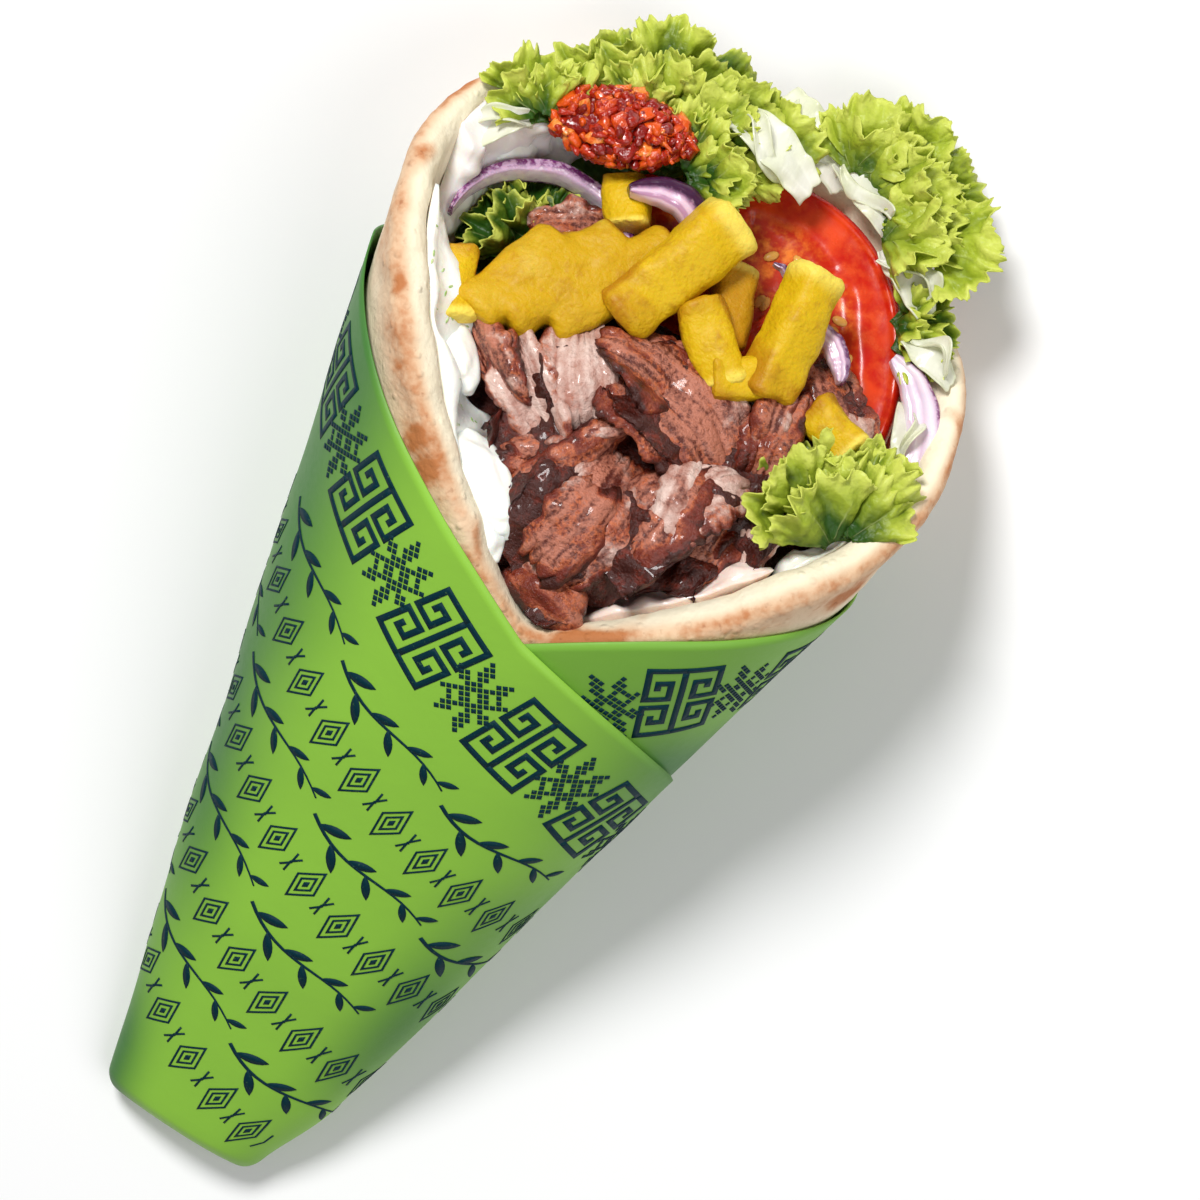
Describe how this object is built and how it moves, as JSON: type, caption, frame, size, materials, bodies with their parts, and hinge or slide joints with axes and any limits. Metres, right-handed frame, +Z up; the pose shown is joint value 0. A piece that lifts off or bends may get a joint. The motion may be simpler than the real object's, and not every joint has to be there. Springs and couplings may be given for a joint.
{
  "type": "gyro wrap",
  "caption": "Pita rolled into a cone in green patterned paper, filled with shaved meat, fries, tomato, onion, lettuce and white sauce.",
  "frame": {"origin": "middle of the footprint, on the surface the wrap lies on", "axes": "+Z up; the filled mouth faces -Y and the folded tip of the cone points to +Y; +X is the left side of the wrap as seen facing the mouth from above the tip"},
  "size_m": [0.094, 0.2092, 0.0616],
  "materials": {
    "paper": "satin",
    "bread": "matte",
    "potato": "satin",
    "tomato": "gloss",
    "onion": "satin",
    "lettuce": "satin",
    "cabbage": "satin",
    "sauce": "gloss",
    "relish": "gloss",
    "meat": "satin"
  },
  "bodies": {
    "root": {"fry_cluster": "potato", "fry_deep": "potato", "fry_left": "potato", "fry_long": "potato", "fry_mid": "potato", "fry_orange": "potato", "fry_right": "potato", "fry_stub": "potato", "fry_top": "potato", "fry_under": "potato", "leaf_back": "lettuce", "leaf_corner": "lettuce", "leaf_front": "lettuce", "leaf_inner": "lettuce", "leaf_relish": "lettuce", "leaf_right": "lettuce", "leaf_side": "lettuce", "meat": "meat", "meat_slice": "meat", "onion_arch": "onion", "onion_inner": "onion", "onion_mid": "onion", "onion_right": "onion", "onion_sliver": "onion", "paper_sleeve": "paper", "pita": "bread", "relish": "relish", "salad": "lettuce", "sauce_corner": "sauce", "sauce_front": "sauce", "sauce_right": "sauce", "strip_back": "cabbage", "strip_corner": "cabbage", "strip_curl": "cabbage", "strip_gap": "cabbage", "strip_low": "cabbage", "strip_side": "cabbage", "strip_tomato": "cabbage", "tomato_slice": "tomato", "tzatziki": "sauce"}
  },
  "joints": []
}
